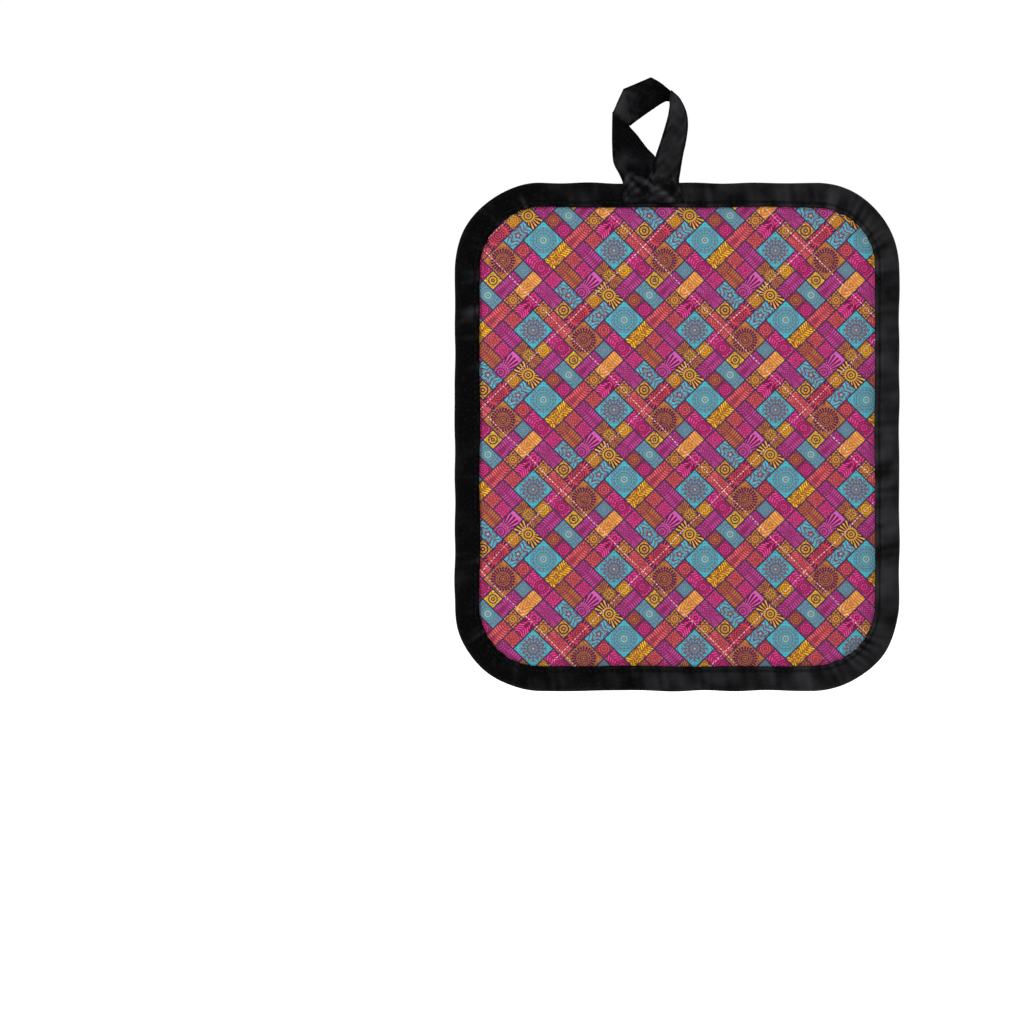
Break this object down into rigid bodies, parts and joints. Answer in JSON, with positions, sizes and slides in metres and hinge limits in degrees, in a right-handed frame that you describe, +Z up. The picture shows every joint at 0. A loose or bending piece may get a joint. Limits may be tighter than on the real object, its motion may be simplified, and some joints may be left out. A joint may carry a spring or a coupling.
{
  "type": "quilted pot holder",
  "caption": "Rounded-rectangle quilted pot holder with a patchwork print, a dark bound edge and a folded tape loop; the pad folds across its middle.",
  "frame": {"origin": "top of the loop's eye, where a hook carries the holder, midway through the tape", "axes": "+X to the right as the printed front is looked at, -Y out of the printed front, +Z up along the holder's height towards the loop"},
  "size_m": [0.2, 0.0087, 0.2764],
  "materials": {
    "printed_cotton": "plain-weave cotton with a patchwork print",
    "black_cotton": "plain-weave black cotton",
    "black_binding": "matte black folded binding tape",
    "wadding": "needled fibre wadding",
    "pale_thread": "pale sewing thread",
    "black_thread": "black sewing thread"
  },
  "bodies": {
    "upper_half": {"front_cover": "printed_cotton", "back_cover": "black_cotton", "wadding_upper": "wadding", "edge_binding": "black_binding", "binding_needle_thread": "black_thread", "binding_bobbin_thread": "black_thread", "quilting_needle_rising": "pale_thread", "quilting_needle_falling": "pale_thread", "quilting_bobbin_rising": "black_thread", "quilting_bobbin_falling": "black_thread", "loop_bartack": "black_thread"},
    "lower_half": {"wadding_lower": "wadding"},
    "loop": {"hanging_loop": "black_binding"}
  },
  "joints": [
    {"name": "pad_fold", "type": "hinge", "parent": "upper_half", "child": "lower_half", "pos_m": [0.0045, 0.0046, -0.1514], "axis": [1, 0, 0], "range_deg": [0, 170], "stiffness_Nm_per_rad": 0.06, "deforming": ["front_cover", "back_cover", "edge_binding", "binding_needle_thread", "binding_bobbin_thread", "quilting_needle_rising", "quilting_needle_falling", "quilting_bobbin_rising", "quilting_bobbin_falling"]},
    {"name": "loop_bend", "type": "hinge", "parent": "upper_half", "child": "loop", "pos_m": [-0.00725, 0, -0.0358], "axis": [1, 0, 0], "range_deg": [-90, 100], "stiffness_Nm_per_rad": 0.002}
  ]
}
